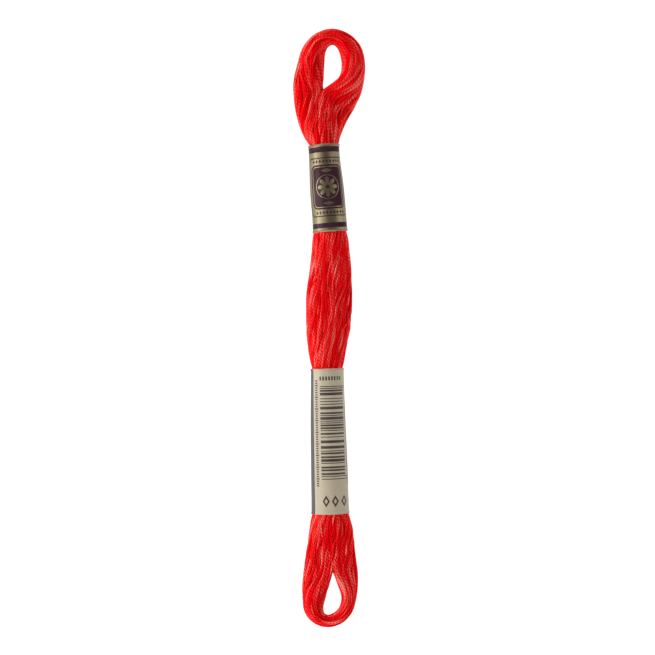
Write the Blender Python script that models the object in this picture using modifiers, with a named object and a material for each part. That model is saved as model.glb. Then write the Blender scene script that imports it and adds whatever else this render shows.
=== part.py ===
"""Skein of six-strand embroidery floss: one wound hank lying flat, held by two paper bands.

The hank is a ring of turns pressed into a long bundle. Its two limbs are joined along the middle and
part at each end round an eye. Metres, +Z up, the skein's length along Y, its underside on Z = 0, and
the origin under the middle of its outline.
"""

import math
from collections import namedtuple

import bmesh
import bpy
import numpy as np

MM = 0.001
MERGE_DISTANCE = 0.03 * MM

# Driving sizes, in millimetres. The sections below give the skein its 160 mm.
PAPER_WALL = 0.5
PAPER_GAP = 0.35
UPPER_BAND_ENDS = (25.7, 48.9)
LOWER_BAND_ENDS = (-49.5, -10.8)

# How the hank flares beyond a band's end, and how much of a round underside lies flat on the table.
FLARE_START = 0.35
FLARE_LENGTH = 1.6
UNDERSIDE_FLAT = 0.25

# The raised main turns: three points each, a valley and two shoulders.
OUTER_TURNS = 9
INNER_TURNS = 5
POINTS_PER_TURN = 3
OUTER_POINTS = OUTER_TURNS * POINTS_PER_TURN
INNER_POINTS = INNER_TURNS * POINTS_PER_TURN
VALLEY_DEPTH = 0.38
TURN_SAG = 0.22
SAG_LENGTH = 29.0
SAG_STAGGER = 2.4
TURN_SWAY = math.radians(13.0)
SWAY_LENGTH = 46.0

# How finely the surfaces are drawn, and how many of the middle's sections lead a loop in and out.
STATION_SPACING = 2.7
LOOP_SPACING = 2.3
LEAD_SECTIONS = 3
BAND_STATIONS = 7
BAND_POINTS = 48

# Where the limbs join, a limb's inner side is narrower than this, and its ring stands upright there.
JOINED_WIDTH = 0.1

# Lofted sections, in millimetres and in order. In the pressed middle, a row crosses both limbs at the
# seam between them. A drop is how far below the seam point a limb's outer point lies along Y, where
# the turns slant. Lift is the underside's height above the table.
MiddleRow = namedtuple(
    "MiddleRow", "seam_y left_x seam_x right_x left_drop right_drop thickness lift"
)
MIDDLE_ROWS = [
    MiddleRow(63.2, -9.7, -1.8, 6.15, 0.0, 5.6, 5.6, 0.0),
    MiddleRow(58.3, -9.15, -1.9, 4.65, 0.0, 3.3, 6.3, 0.1),
    MiddleRow(53.8, -7.9, -1.7, 3.4, 0.0, 1.7, 7.5, 0.1),
    MiddleRow(50.2, -6.3, -1.5, 2.8, 0.0, 0.4, 8.5, 0.0),
    MiddleRow(48.9, -5.6, -1.4, 2.8, 0.0, 0.0, 8.8, 0.0),
    MiddleRow(37.0, -5.15, -0.6, 4.05, 0.0, 0.0, 8.5, 0.0),
    MiddleRow(25.7, -4.4, 0.3, 5.0, 0.0, 0.0, 8.1, 0.0),
    MiddleRow(21.0, -4.65, 0.3, 5.5, 0.0, 0.0, 7.4, 0.2),
    MiddleRow(14.5, -5.35, 0.2, 6.1, 0.0, 0.0, 6.5, 0.4),
    MiddleRow(8.0, -6.2, 0.0, 6.25, 0.0, 0.0, 6.0, 0.5),
    MiddleRow(1.5, -6.2, -0.2, 6.0, 0.0, 0.0, 6.1, 0.5),
    MiddleRow(-5.0, -5.75, -0.4, 4.8, 0.0, 0.0, 7.1, 0.3),
    MiddleRow(-10.8, -4.9, -0.4, 4.0, 0.0, 0.0, 8.5, 0.0),
    MiddleRow(-23.0, -5.0, -0.2, 4.4, 0.0, 0.0, 8.3, 0.0),
    MiddleRow(-36.5, -4.85, 0.1, 5.0, 0.0, 0.0, 8.0, 0.0),
    MiddleRow(-49.5, -4.75, 0.4, 5.5, 0.0, 0.0, 7.6, 0.0),
    MiddleRow(-54.0, -5.3, 0.6, 6.5, 0.0, 0.0, 6.8, 0.1),
    MiddleRow(-59.4, -6.1, 0.9, 7.0, 0.0, 0.0, 6.1, 0.1),
    MiddleRow(-64.8, -6.8, 1.1, 7.7, 0.0, 0.0, 5.8, 0.0),
]

# Round an eye, a row crosses one limb from its inner edge to its outer edge. Wall is the share of the
# width that the limb's inner side takes to swell to full height: none where the limbs join, half
# where the limb is a full round.
LoopRow = namedtuple("LoopRow", "outer_x outer_y inner_x inner_y thickness wall")
TOP_LOOP_ROWS = [
    LoopRow(-9.5, 66.8, -1.4, 66.4, 6.0, 0.36),
    LoopRow(-8.4, 71.2, -1.25, 70.2, 6.3, 0.46),
    LoopRow(-6.95, 75.4, -1.0, 73.4, 6.6, 0.5),
    LoopRow(-3.9, 78.7, -0.3, 75.1, 7.0, 0.5),
    LoopRow(1.1, 80.15, 1.1, 75.8, 7.2, 0.5),
    LoopRow(5.9, 78.4, 2.3, 74.8, 6.9, 0.5),
    LoopRow(8.7, 75.1, 3.05, 72.8, 6.6, 0.5),
    LoopRow(9.75, 70.6, 3.3, 70.2, 6.4, 0.48),
    LoopRow(9.3, 65.5, 2.65, 67.2, 6.1, 0.42),
    LoopRow(8.1, 61.2, -0.3, 64.8, 5.8, 0.22),
]
BOTTOM_LOOP_ROWS = [
    LoopRow(7.8, -68.4, 2.1, -68.2, 6.2, 0.34),
    LoopRow(7.3, -72.6, 3.3, -71.9, 6.6, 0.46),
    LoopRow(6.1, -76.3, 2.7, -74.8, 6.9, 0.5),
    LoopRow(3.5, -78.9, 1.3, -76.2, 7.1, 0.5),
    LoopRow(-0.6, -80.0, -0.3, -76.8, 7.2, 0.5),
    LoopRow(-4.4, -78.9, -1.2, -76.3, 7.0, 0.5),
    LoopRow(-6.6, -76.0, -1.5, -74.9, 6.6, 0.5),
    LoopRow(-7.1, -72.0, -0.9, -72.2, 6.2, 0.46),
    LoopRow(-7.2, -68.3, 0.15, -68.6, 5.9, 0.34),
]

# Finishes: base colour, roughness and metallic share.
FLOSS_FINISH = ((0.72, 0.012, 0.014, 1.0), 0.55, 0.0)
GOLD_PAPER_FINISH = ((0.46, 0.37, 0.20, 1.0), 0.38, 0.6)
CREAM_PAPER_FINISH = ((0.62, 0.54, 0.40, 1.0), 0.55, 0.0)

# One cross-section of one limb, ready to be drawn as a ring of points.
Section = namedtuple("Section", "outer inner thickness lift wall")


def clear_scene():
    for old_object in list(bpy.data.objects):
        bpy.data.objects.remove(old_object, do_unlink=True)


def even_slopes(knots, values):
    """Slope at each row from its neighbours, gentler where they bend sharply, so nothing overshoots."""
    secants = np.diff(values, axis=0) / np.diff(knots)[:, None]
    before, after = secants[:-1], secants[1:]
    product = before * after
    total = np.where(product > 0, before + after, 1.0)
    inner = np.where(product > 0, 2 * product / total, 0.0)
    return np.concatenate([secants[:1], inner, secants[-1:]])


def smooth_curve(knots, values, wanted, slopes_of):
    """Cubic through rows of values at rising knots, with its slope at each row from slopes_of."""
    knots = np.asarray(knots, float)
    values = np.asarray(values, float)
    slopes = slopes_of(knots, values)
    found = []
    for place in wanted:
        row = int(np.clip(np.searchsorted(knots, place, "right") - 1, 0, len(knots) - 2))
        span = knots[row + 1] - knots[row]
        t = (place - knots[row]) / span
        found.append(
            (2 * t**3 - 3 * t**2 + 1) * values[row]
            + (t**3 - 2 * t**2 + t) * span * slopes[row]
            + (3 * t**2 - 2 * t**3) * values[row + 1]
            + (t**3 - t**2) * span * slopes[row + 1]
        )
    return np.array(found)


def round_slopes(knots, values):
    """Slope at each row from the rows on both sides of it, for a rounded line."""
    return np.gradient(values, knots, axis=0)


def smoothstep(t):
    t = min(max(t, 0.0), 1.0)
    return t * t * (3 - 2 * t)


def squeeze_at(y):
    """How far the paper bands press the hank in at y, and how that eases off beyond their ends."""
    nearest = min(max(low - y, y - high, 0.0) for low, high in (UPPER_BAND_ENDS, LOWER_BAND_ENDS))
    return (PAPER_WALL + PAPER_GAP) * (1 - smoothstep((nearest - FLARE_START) / FLARE_LENGTH))


def middle_sections(heights):
    """The pressed middle's sections at these heights along Y, as (left limb, right limb) pairs."""
    knots = [-row.seam_y for row in MIDDLE_ROWS]
    pairs = []
    rows = smooth_curve(knots, MIDDLE_ROWS, [-y for y in heights], even_slopes)
    for height, row in zip(heights, rows):
        row = MiddleRow(*row)
        seam = (row.seam_x, height)
        left_outer = (row.left_x, height - row.left_drop)
        right_outer = (row.right_x, height - row.right_drop)
        left = Section(left_outer, seam, row.thickness, row.lift, 0.0)
        right = Section(right_outer, seam, row.thickness, row.lift, 0.0)
        pairs.append((left, right))
    return pairs


def middle_heights():
    """Stations down the middle, with extra ones at the bands' ends and on the flares beside them."""
    top, bottom = MIDDLE_ROWS[0].seam_y, MIDDLE_ROWS[-1].seam_y
    flare_steps = (FLARE_START, FLARE_START + FLARE_LENGTH / 2, FLARE_START + FLARE_LENGTH)
    kept = {top, bottom}
    for low, high in (UPPER_BAND_ENDS, LOWER_BAND_ENDS):
        kept |= {low, high}
        kept |= {low - step for step in flare_steps}
        kept |= {high + step for step in flare_steps}
    anchors = sorted(kept, reverse=True)
    heights = []
    for upper, lower in zip(anchors, anchors[1:]):
        steps = max(1, round((upper - lower) / STATION_SPACING))
        heights += [upper - (upper - lower) * k / steps for k in range(steps)]
    return heights + [anchors[-1]]


def loop_sections(loop_rows, before, after):
    """Sections round an eye, between the middle's end sections. Before and after lead in and out."""
    round_eye = [
        Section((r.outer_x, r.outer_y), (r.inner_x, r.inner_y), r.thickness, 0.0, r.wall)
        for r in loop_rows
    ]
    rows = np.array(
        [
            (*s.outer, *s.inner, s.thickness, s.lift, s.wall)
            for s in [*before, *round_eye, *after]
        ]
    )
    centres = (rows[:, 0:2] + rows[:, 2:4]) / 2
    knots = np.concatenate([[0.0], np.cumsum(np.linalg.norm(np.diff(centres, axis=0), axis=1))])
    first, last = knots[len(before) - 1], knots[-len(after)]
    steps = round((last - first) / LOOP_SPACING)
    places = np.linspace(first, last, steps + 1)[1:-1]
    return [
        Section((v[0], v[1]), (v[2], v[3]), v[4], max(v[5], 0.0), max(v[6], 0.0))
        for v in smooth_curve(knots, rows, places, round_slopes)
    ]


def turn_relief(column, columns, travel, wall):
    """Depth below the section's outline at a ring column: deep in a valley, slight on a sagging turn."""
    if column % POINTS_PER_TURN == 0:
        return VALLEY_DEPTH * wall
    turn = column // POINTS_PER_TURN
    wave = math.sin(2 * math.pi * travel / SAG_LENGTH + SAG_STAGGER * turn + columns)
    return TURN_SAG * wall * (0.5 - 0.5 * wave)


def seam_relief(angle, wall):
    """Extra depth on a limb's inner side near the joined middle, so that it ends in the seam's valley."""
    return VALLEY_DEPTH * (1 - 2 * wall) * abs(math.sin(angle))


def section_point(section, angle, relief=0.0, squeeze=lambda y: 0.0):
    """Point on a limb's ring: angle 0 faces the eye, a quarter turn is its top, half is its outer edge."""
    outer, inner = np.array(section.outer), np.array(section.inner)
    across = outer - inner
    width = np.linalg.norm(across)
    across /= width
    half_height = (section.thickness + UNDERSIDE_FLAT) / 2
    on_inner_side = math.cos(angle) > 0
    half_width = width * (section.wall if on_inner_side else 1 - section.wall)
    sideways = width * section.wall - half_width * math.cos(angle)
    upwards = half_height * math.sin(angle)
    if half_width < JOINED_WIDTH:
        normal = np.array([0.0, math.copysign(1.0, math.sin(angle))])
    else:
        normal = np.array([-math.cos(angle) / half_width, math.sin(angle) / half_height])
        normal /= np.linalg.norm(normal)
    pressed_in = squeeze(inner[1] + across[1] * sideways)
    sideways -= (relief + pressed_in) * normal[0]
    upwards -= (relief + pressed_in) * normal[1]
    floor = section.lift + pressed_in
    height = max(section.lift + section.thickness - half_height + upwards, floor)
    return (*(inner + across * sideways), height)


def limb_ring(section, travel, with_inner_side):
    """Ring of points: the outer side from the top seam round to the bottom seam, then the inner side."""
    sway = TURN_SWAY * math.sin(2 * math.pi * travel / SWAY_LENGTH)
    ring = []
    for column in range(OUTER_POINTS + 1):
        share = column / OUTER_POINTS
        angle = math.pi / 2 + math.pi * share + sway * math.sin(math.pi * share)
        relief = turn_relief(column, OUTER_POINTS, travel, 1.0)
        ring.append(section_point(section, angle, relief, squeeze_at))
    if with_inner_side:
        for column in range(1, INNER_POINTS):
            angle = -math.pi / 2 + math.pi * column / INNER_POINTS
            relief = turn_relief(column, INNER_POINTS, travel, 2 * section.wall)
            relief += seam_relief(angle, section.wall)
            ring.append(section_point(section, angle, relief, squeeze_at))
    return ring


def hank_rings():
    """The closed chain of rings: over the top eye, down the right, round the bottom, up the left."""
    heights = middle_heights()
    middle = middle_sections(heights)
    left = [pair[0] for pair in middle]
    right = [pair[1] for pair in middle]
    lead = LEAD_SECTIONS
    over_top = loop_sections(TOP_LOOP_ROWS, left[lead - 1 :: -1], right[:lead])
    round_bottom = loop_sections(BOTTOM_LOOP_ROWS, right[-lead:], left[: -lead - 1 : -1])
    top_reach, bottom_reach = heights[0], heights[-1]
    chain = []
    for k, section in enumerate(over_top):
        chain.append((section, top_reach + k * LOOP_SPACING, True))
    for y, section in zip(heights, right):
        chain.append((section, y, y in (top_reach, bottom_reach)))
    for k, section in enumerate(round_bottom):
        chain.append((section, bottom_reach - k * LOOP_SPACING, True))
    for y, section in zip(reversed(heights), reversed(left)):
        chain.append((section, y, y in (top_reach, bottom_reach)))
    return [limb_ring(*link) for link in chain]


def build_hank_mesh(rings):
    """Joins the rings, leaves out the wall between the pressed limbs, and merges their seams."""
    mesh = bmesh.new()
    ring_verts = [[mesh.verts.new([c * MM for c in point]) for point in ring] for ring in rings]
    for here, there in zip(ring_verts, ring_verts[1:] + ring_verts[:1]):
        closed = len(here) > OUTER_POINTS + 1 and len(there) > OUTER_POINTS + 1
        columns = len(here) if closed else OUTER_POINTS
        for column in range(columns):
            after = (column + 1) % len(here) if closed else column + 1
            mesh.faces.new((here[column], here[after], there[after], there[column]))
    bmesh.ops.remove_doubles(mesh, verts=mesh.verts, dist=MERGE_DISTANCE)
    bmesh.ops.recalc_face_normals(mesh, faces=mesh.faces)
    return mesh


def make_material(name, finish):
    colour, roughness, metallic = finish
    material = bpy.data.materials.new(name)
    material.use_nodes = True
    shader = material.node_tree.nodes["Principled BSDF"]
    shader.inputs["Base Color"].default_value = colour
    shader.inputs["Roughness"].default_value = roughness
    shader.inputs["Metallic"].default_value = metallic
    return material


def add_part(name, mesh, material, collection):
    data = bpy.data.meshes.new(name)
    mesh.to_mesh(data)
    mesh.free()
    data.materials.append(material)
    data.shade_smooth()
    part = bpy.data.objects.new(name, data)
    collection.objects.link(part)
    return part


def band_ring(pair):
    """Smooth ring round both limbs, half from each, on the outside of the paper."""
    left, right = pair
    half = BAND_POINTS // 2
    ring = []
    for section, direction in ((right, 1), (left, -1)):
        for column in range(half):
            share = column / half if direction > 0 else 1 - column / half
            ring.append(section_point(section, math.pi / 2 + math.pi * share))
    return ring


def add_band(name, ends, material, collection):
    """Paper sleeve: an open tube on the hank's own outline, thickened inwards."""
    low, high = ends
    heights = np.linspace(high, low, BAND_STATIONS)
    mesh = bmesh.new()
    rings = []
    for pair in middle_sections(heights):
        rings.append([mesh.verts.new([c * MM for c in point]) for point in band_ring(pair)])
    for upper, lower in zip(rings, rings[1:]):
        for column in range(BAND_POINTS):
            after = (column + 1) % BAND_POINTS
            mesh.faces.new((upper[column], lower[column], lower[after], upper[after]))
    bmesh.ops.recalc_face_normals(mesh, faces=mesh.faces)
    band = add_part(name, mesh, material, collection)
    wall = band.modifiers.new("paper wall", "SOLIDIFY")
    wall.thickness = PAPER_WALL * MM
    wall.offset = -1.0
    wall.use_even_offset = True
    return band


def build_skein():
    clear_scene()
    collection = bpy.data.collections.new("floss_skein")
    bpy.context.scene.collection.children.link(collection)
    floss = make_material("floss", FLOSS_FINISH)
    gold_paper = make_material("gold paper", GOLD_PAPER_FINISH)
    cream_paper = make_material("cream paper", CREAM_PAPER_FINISH)
    add_part("floss_hank", build_hank_mesh(hank_rings()), floss, collection)
    add_band("upper_band", UPPER_BAND_ENDS, gold_paper, collection)
    add_band("lower_band", LOWER_BAND_ENDS, cream_paper, collection)


build_skein()
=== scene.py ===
"""Skein of six-strand embroidery floss with two paper bands, dressed round its CAD solids.

Every turn of floss is six round strands. The turns are laid through the hank's cross-sections, packed
side by side there, and then swept into tubes. The two paper bands are wrapped round them.
"""

import math
from collections import namedtuple

import bmesh
import bpy
import numpy as np
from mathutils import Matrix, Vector


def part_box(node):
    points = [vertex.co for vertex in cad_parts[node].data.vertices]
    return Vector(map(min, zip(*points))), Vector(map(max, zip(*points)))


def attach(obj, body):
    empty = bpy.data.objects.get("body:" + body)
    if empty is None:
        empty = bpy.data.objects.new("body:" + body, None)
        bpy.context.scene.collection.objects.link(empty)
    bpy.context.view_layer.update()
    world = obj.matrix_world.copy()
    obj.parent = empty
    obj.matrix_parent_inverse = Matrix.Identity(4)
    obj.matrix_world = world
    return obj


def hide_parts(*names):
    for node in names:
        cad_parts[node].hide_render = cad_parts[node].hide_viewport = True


bl_info = {
    "name": "Embroidery Floss Skein",
    "version": (1, 0, 0),
    "blender": (4, 5, 0),
    "location": "View3D > Sidebar > Skein",
    "description": "Winds a skein of embroidery floss, wraps its paper bands and lights it",
    "category": "Object",
}

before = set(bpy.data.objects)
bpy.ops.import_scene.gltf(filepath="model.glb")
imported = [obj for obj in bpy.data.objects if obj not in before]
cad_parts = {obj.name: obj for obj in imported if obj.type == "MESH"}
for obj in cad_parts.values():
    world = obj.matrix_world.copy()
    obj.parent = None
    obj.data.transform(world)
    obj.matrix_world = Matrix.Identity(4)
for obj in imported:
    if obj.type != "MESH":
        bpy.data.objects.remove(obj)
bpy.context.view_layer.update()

MM = 0.001
SEED = 11

# The hank's sections, in millimetres, as in its solid. In the pressed middle a row crosses both limbs at
# the seam between them. A drop is how far below the seam point a limb's outer point lies along Y.
MiddleRow = namedtuple(
    "MiddleRow", "seam_y left_x seam_x right_x left_drop right_drop thickness lift"
)
MIDDLE_ROWS = [
    MiddleRow(63.2, -9.7, -1.8, 6.15, 0.0, 5.6, 5.6, 0.0),
    MiddleRow(58.3, -9.15, -1.9, 4.65, 0.0, 3.3, 6.3, 0.1),
    MiddleRow(53.8, -7.9, -1.7, 3.4, 0.0, 1.7, 7.5, 0.1),
    MiddleRow(50.2, -6.3, -1.5, 2.8, 0.0, 0.4, 8.5, 0.0),
    MiddleRow(48.9, -5.6, -1.4, 2.8, 0.0, 0.0, 8.8, 0.0),
    MiddleRow(37.0, -5.15, -0.6, 4.05, 0.0, 0.0, 8.5, 0.0),
    MiddleRow(25.7, -4.4, 0.3, 5.0, 0.0, 0.0, 8.1, 0.0),
    MiddleRow(21.0, -4.65, 0.3, 5.5, 0.0, 0.0, 7.4, 0.2),
    MiddleRow(14.5, -5.35, 0.2, 6.1, 0.0, 0.0, 6.5, 0.4),
    MiddleRow(8.0, -6.2, 0.0, 6.25, 0.0, 0.0, 6.0, 0.5),
    MiddleRow(1.5, -6.2, -0.2, 6.0, 0.0, 0.0, 6.1, 0.5),
    MiddleRow(-5.0, -5.75, -0.4, 4.8, 0.0, 0.0, 7.1, 0.3),
    MiddleRow(-10.8, -4.9, -0.4, 4.0, 0.0, 0.0, 8.5, 0.0),
    MiddleRow(-23.0, -5.0, -0.2, 4.4, 0.0, 0.0, 8.3, 0.0),
    MiddleRow(-36.5, -4.85, 0.1, 5.0, 0.0, 0.0, 8.0, 0.0),
    MiddleRow(-49.5, -4.75, 0.4, 5.5, 0.0, 0.0, 7.6, 0.0),
    MiddleRow(-54.0, -5.3, 0.6, 6.5, 0.0, 0.0, 6.8, 0.1),
    MiddleRow(-59.4, -6.1, 0.9, 7.0, 0.0, 0.0, 6.1, 0.1),
    MiddleRow(-64.8, -6.8, 1.1, 7.7, 0.0, 0.0, 5.8, 0.0),
]

# Round an eye a row crosses one limb. Wall is the share of its width in which its inner side swells.
LoopRow = namedtuple("LoopRow", "outer_x outer_y inner_x inner_y thickness wall")
TOP_LOOP_ROWS = [
    LoopRow(-9.5, 66.8, -1.4, 66.4, 6.0, 0.36),
    LoopRow(-8.4, 71.2, -1.25, 70.2, 6.3, 0.46),
    LoopRow(-6.95, 75.4, -1.0, 73.4, 6.6, 0.5),
    LoopRow(-3.9, 78.7, -0.3, 75.1, 7.0, 0.5),
    LoopRow(1.1, 80.15, 1.1, 75.8, 7.2, 0.5),
    LoopRow(5.9, 78.4, 2.3, 74.8, 6.9, 0.5),
    LoopRow(8.7, 75.1, 3.05, 72.8, 6.6, 0.5),
    LoopRow(9.75, 70.6, 3.3, 70.2, 6.4, 0.48),
    LoopRow(9.3, 65.5, 2.65, 67.2, 6.1, 0.42),
    LoopRow(8.1, 61.2, -0.3, 64.8, 5.8, 0.22),
]
BOTTOM_LOOP_ROWS = [
    LoopRow(7.8, -68.4, 2.1, -68.2, 6.2, 0.34),
    LoopRow(7.3, -72.6, 3.3, -71.9, 6.6, 0.46),
    LoopRow(6.1, -76.3, 2.7, -74.8, 6.9, 0.5),
    LoopRow(3.5, -78.9, 1.3, -76.2, 7.1, 0.5),
    LoopRow(-0.6, -80.0, -0.3, -76.8, 7.2, 0.5),
    LoopRow(-4.4, -78.9, -1.2, -76.3, 7.0, 0.5),
    LoopRow(-6.6, -76.0, -1.5, -74.9, 6.6, 0.5),
    LoopRow(-7.1, -72.0, -0.9, -72.2, 6.2, 0.46),
    LoopRow(-7.2, -68.3, 0.15, -68.6, 5.9, 0.34),
]
UNDERSIDE_FLAT = 0.25
LEAD_SECTIONS = 3

# The bands reach over their solids' own length along Y, in millimetres, and lean a little.
UPPER_BAND_ENDS = tuple(corner.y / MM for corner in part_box("upper_band"))
LOWER_BAND_ENDS = tuple(corner.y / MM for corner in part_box("lower_band"))
UPPER_BAND_TILT = math.radians(4.5)
LOWER_BAND_TILT = math.radians(1.6)

Section = namedtuple("Section", "outer inner thickness lift wall")


# Sizes and colours that a user may change


class FlossSettings(bpy.types.PropertyGroup):
    """How the hank is wound and coloured."""

    turns: bpy.props.IntProperty(name="Turns", description="Turns of floss in the hank", default=25)
    strand_diameter: bpy.props.FloatProperty(
        name="Strand diameter",
        description="Thickness of one of the six strands",
        default=0.43 * MM,
        unit="LENGTH",
        precision=5,
    )
    ply_pitch: bpy.props.FloatProperty(
        name="Ply pitch",
        description="Length in which the two plies of a strand go once round each other",
        default=1.8 * MM,
        unit="LENGTH",
        precision=5,
    )
    floss_twists: bpy.props.IntProperty(
        name="Floss twists",
        description="Times that the six strands go round each other in one turn of the hank",
        default=9,
    )
    hank_twist: bpy.props.FloatProperty(
        name="Hank twist",
        description="How far the two limbs turn round each other between the eyes",
        default=math.pi,
        unit="ROTATION",
    )
    wander: bpy.props.FloatProperty(
        name="Wander",
        description="How far a turn strays across the hank, as a share of its half width",
        default=0.16,
        min=0.0,
        max=0.5,
    )
    colour: bpy.props.FloatVectorProperty(
        name="Colour",
        description="Dyed colour of the floss",
        subtype="COLOR",
        size=3,
        default=(0.86, 0.002, 0.0050),
    )
    # Painted shade: the base colour goes towards this colour where a strand's painted light is low, in the
    # grooves between its plies, on strands that lie low in their six, on the hank's flat middle, and at
    # random along the strands.
    shade: bpy.props.FloatVectorProperty(
        name="Shade",
        description="Colour of the floss deep between its plies",
        subtype="COLOR",
        size=3,
        default=(0.60, 0.0, 0.0010),
    )
    # Painted highlight: this colour is mixed into the base colour where a strand's painted light is high,
    # standing in for its fibres catching the light.
    painted_sheen: bpy.props.FloatVectorProperty(
        name="Sheen",
        description="Colour of the floss where its fibres catch the light",
        subtype="COLOR",
        size=3,
        default=(0.97, 0.215, 0.175),
    )


class BandSettings(bpy.types.PropertyGroup):
    """The paper of the two bands and what is printed on it."""

    paper: bpy.props.FloatProperty(
        name="Paper",
        description="Thickness of the paper",
        default=0.12 * MM,
        unit="LENGTH",
        precision=5,
    )
    overlap: bpy.props.FloatProperty(
        name="Overlap",
        description="Width in which a band's two ends lie on each other",
        default=3.0 * MM,
        unit="LENGTH",
        precision=4,
    )
    gold: bpy.props.FloatVectorProperty(
        name="Gold",
        description="Foil colour of the upper band",
        subtype="COLOR",
        size=3,
        default=(0.174, 0.142, 0.080),
    )
    print_dark: bpy.props.FloatVectorProperty(
        name="Dark print",
        description="Aubergine ink on the foil",
        subtype="COLOR",
        size=3,
        default=(0.038, 0.015, 0.022),
    )
    cream: bpy.props.FloatVectorProperty(
        name="Cream",
        description="Paper colour of the lower band",
        subtype="COLOR",
        size=3,
        default=(0.37, 0.318, 0.224),
    )
    ink: bpy.props.FloatVectorProperty(
        name="Ink",
        description="Brown ink on the cream paper",
        subtype="COLOR",
        size=3,
        default=(0.030, 0.016, 0.016),
    )
    slate: bpy.props.FloatVectorProperty(
        name="Slate",
        description="Colour of the lower band's far side",
        subtype="COLOR",
        size=3,
        default=(0.048, 0.049, 0.056),
    )


class StageSettings(bpy.types.PropertyGroup):
    """The floor, lights and camera."""

    camera_height: bpy.props.FloatProperty(
        name="Camera height",
        description="Height of the camera above the floor",
        default=0.486,
        unit="LENGTH",
    )
    frame_width: bpy.props.FloatProperty(
        name="Frame width",
        description="Width that the camera sees at the skein",
        default=0.1751,
        unit="LENGTH",
        precision=4,
    )
    side_light: bpy.props.FloatProperty(
        name="Side light", description="Power of the left light, in watts", default=1.8
    )
    floor: bpy.props.FloatVectorProperty(
        name="Floor",
        description="Colour of the floor",
        subtype="COLOR",
        size=3,
        default=(0.25, 0.25, 0.25),
    )


# Cross-sections along the hank


def even_slopes(knots, values):
    """Slope at each row from its neighbours, gentler where they bend sharply, so nothing overshoots."""
    secants = np.diff(values, axis=0) / np.diff(knots)[:, None]
    before, after = secants[:-1], secants[1:]
    product = before * after
    total = np.where(product > 0, before + after, 1.0)
    inner = np.where(product > 0, 2 * product / total, 0.0)
    return np.concatenate([secants[:1], inner, secants[-1:]])


def round_slopes(knots, values):
    """Slope at each row from the rows on both sides of it, for a rounded line."""
    return np.gradient(values, knots, axis=0)


def smooth_curve(knots, values, wanted, slopes_of):
    """Cubic through rows of values at rising knots, with its slope at each row from slopes_of."""
    knots = np.asarray(knots, float)
    values = np.asarray(values, float)
    slopes = slopes_of(knots, values)
    row = np.clip(np.searchsorted(knots, wanted, "right") - 1, 0, len(knots) - 2)
    span = (knots[row + 1] - knots[row])[:, None]
    t = (np.asarray(wanted) - knots[row])[:, None] / span
    return (
        (2 * t**3 - 3 * t**2 + 1) * values[row]
        + (t**3 - 2 * t**2 + t) * span * slopes[row]
        + (3 * t**2 - 2 * t**3) * values[row + 1]
        + (t**3 - t**2) * span * slopes[row + 1]
    )


def smoothstep(t):
    t = np.clip(t, 0.0, 1.0)
    return t * t * (3 - 2 * t)


def middle_rows_at(heights):
    """The pressed middle's rows of sizes at these heights along Y."""
    knots = [-row.seam_y for row in MIDDLE_ROWS]
    rows = smooth_curve(knots, MIDDLE_ROWS, -np.asarray(heights), even_slopes)
    return [MiddleRow(*values) for values in rows]


def middle_sections(heights):
    """The pressed middle's sections at these heights along Y, as (left limb, right limb) pairs."""
    pairs = []
    for height, row in zip(heights, middle_rows_at(heights)):
        seam = (row.seam_x, height)
        left_outer = (row.left_x, height - row.left_drop)
        right_outer = (row.right_x, height - row.right_drop)
        left = Section(left_outer, seam, row.thickness, row.lift, 0.0)
        right = Section(right_outer, seam, row.thickness, row.lift, 0.0)
        pairs.append((left, right))
    return pairs


def loop_sections(loop_rows, before, after, spacing):
    """Sections round an eye, between the middle's end sections. Before and after lead in and out."""
    round_eye = [
        Section((r.outer_x, r.outer_y), (r.inner_x, r.inner_y), r.thickness, 0.0, r.wall)
        for r in loop_rows
    ]
    rows = np.array(
        [(*s.outer, *s.inner, s.thickness, s.lift, s.wall) for s in [*before, *round_eye, *after]]
    )
    centres = (rows[:, 0:2] + rows[:, 2:4]) / 2
    knots = np.concatenate([[0.0], np.cumsum(np.linalg.norm(np.diff(centres, axis=0), axis=1))])
    first, last = knots[len(before) - 1], knots[-len(after)]
    places = np.linspace(first, last, round((last - first) / spacing) + 1)[1:-1]
    return [
        Section((v[0], v[1]), (v[2], v[3]), v[4], max(v[5], 0.0), max(v[6], 0.0))
        for v in smooth_curve(knots, rows, places, round_slopes)
    ]


STRANDS = 6

# The strands swell or shrink with the room that they have, to fill this share of each section.
STRAND_SHARE = 0.79
TIGHTEST, LOOSEST = 0.86, 1.3

# Gap between turns, as a share of the side of a square as large as a turn's room.
TURN_SPREAD = 0.98

# Parts of the closed chain of sections that a turn runs through.
TOP_LOOP, DOWN_LIMB, BOTTOM_LOOP, UP_LIMB = range(4)
STATION_SPACING = 1.6
FLARE_LENGTH = 1.2

# The least reach of a section to one side, for packing it and for working out which way it faces.
LEAST_REACH, LEAST_FACING_REACH = 0.02, 0.8

# Lines that reach less than this share of a section's way out are spread, at this rate.
FILL_SHARE, FILL_RATE = 0.99, 0.25
TINY = 1e-6


def covered_by_paper(y, ends_list=(UPPER_BAND_ENDS, LOWER_BAND_ENDS)):
    """1 where a band covers the hank at y, easing to 0 just beyond its ends."""
    outside = [np.maximum(np.maximum(low - y, y - high), 0.0) for low, high in ends_list]
    return 1 - smoothstep(np.minimum(*outside) / FLARE_LENGTH)


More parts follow.
